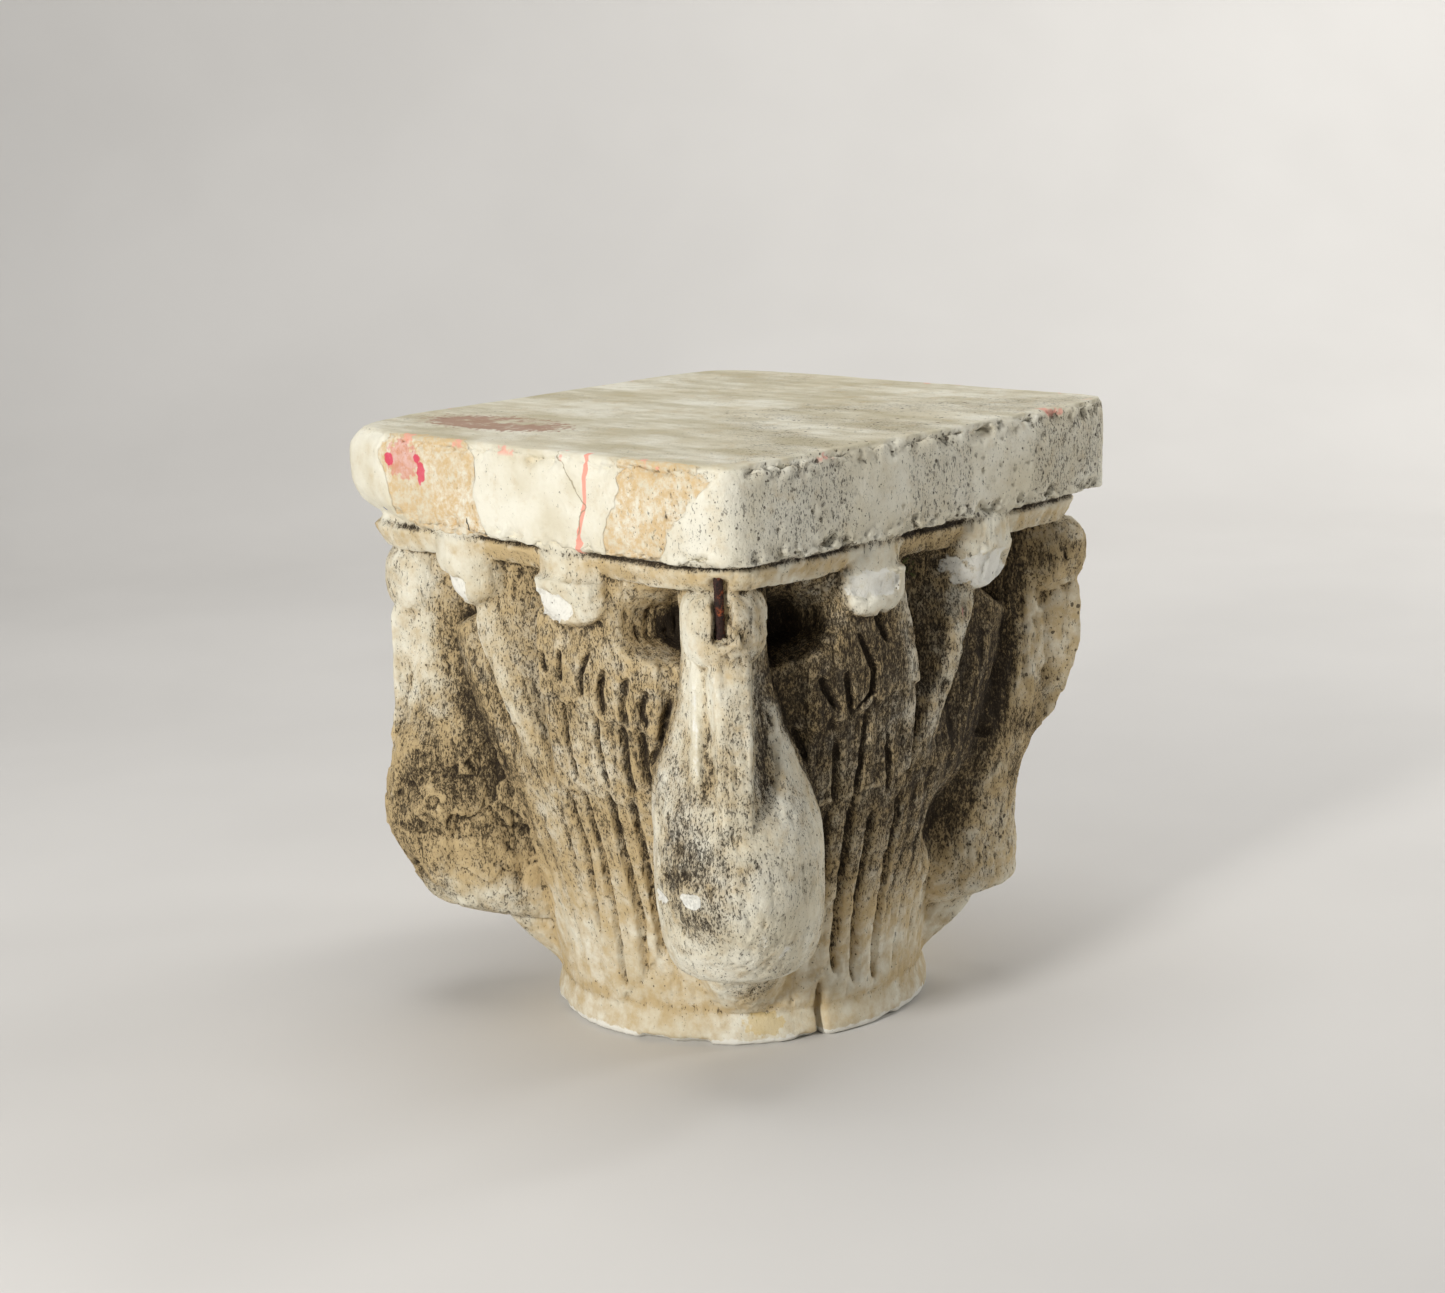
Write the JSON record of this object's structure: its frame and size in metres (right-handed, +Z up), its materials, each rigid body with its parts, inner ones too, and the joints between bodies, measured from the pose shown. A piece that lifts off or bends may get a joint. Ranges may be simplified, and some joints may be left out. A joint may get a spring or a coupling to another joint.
{
  "type": "plaster capital",
  "caption": "Cast plaster column capital: a square slab on a bell carved with long-billed birds at the corners, wings over the faces, and a round ring at the foot.",
  "frame": {"origin": "middle of the round underside, at the height it rests on", "axes": "+Z up to the slab's top; the slab's sides are square to X and Y; the bird with the bare wire stands at the corner between +X and -Y"},
  "size_m": [0.358, 0.358, 0.38],
  "materials": {
    "plaster": "matt, pitted and stained plaster",
    "rusty_iron": "rough dark rust"
  },
  "bodies": {
    "root": {"plaster_capital": "plaster", "iron_rod": "rusty_iron"}
  },
  "joints": []
}
